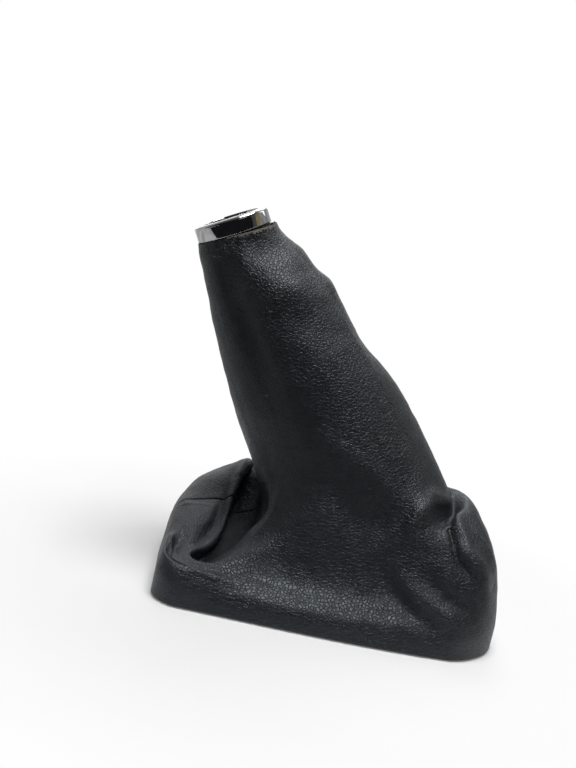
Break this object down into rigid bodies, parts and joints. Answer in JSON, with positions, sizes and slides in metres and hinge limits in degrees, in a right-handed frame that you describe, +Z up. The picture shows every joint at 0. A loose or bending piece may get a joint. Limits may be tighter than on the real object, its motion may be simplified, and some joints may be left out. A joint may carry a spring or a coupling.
{
  "type": "gear shift surround",
  "caption": "Leather gear lever gaiter on a rectangular base frame, its neck leaning to one side and closed by a round collar that the lever passes through.",
  "frame": {"origin": "middle of the bounding box's bottom, on the surface that the hem stands on", "axes": "+X along the base's length, away from the side that the neck leans to; +Y across the base, away from the viewer; +Z up"},
  "size_m": [0.177, 0.125, 0.1818],
  "materials": {
    "leather": "pebbled semi-matte black",
    "plastic": "moulded black",
    "chrome": "bright plated"
  },
  "bodies": {
    "root": {"near_panel": "leather", "far_panel": "leather", "base_frame": "plastic", "collar_sleeve": "plastic", "chrome_collar": "chrome"}
  },
  "joints": []
}
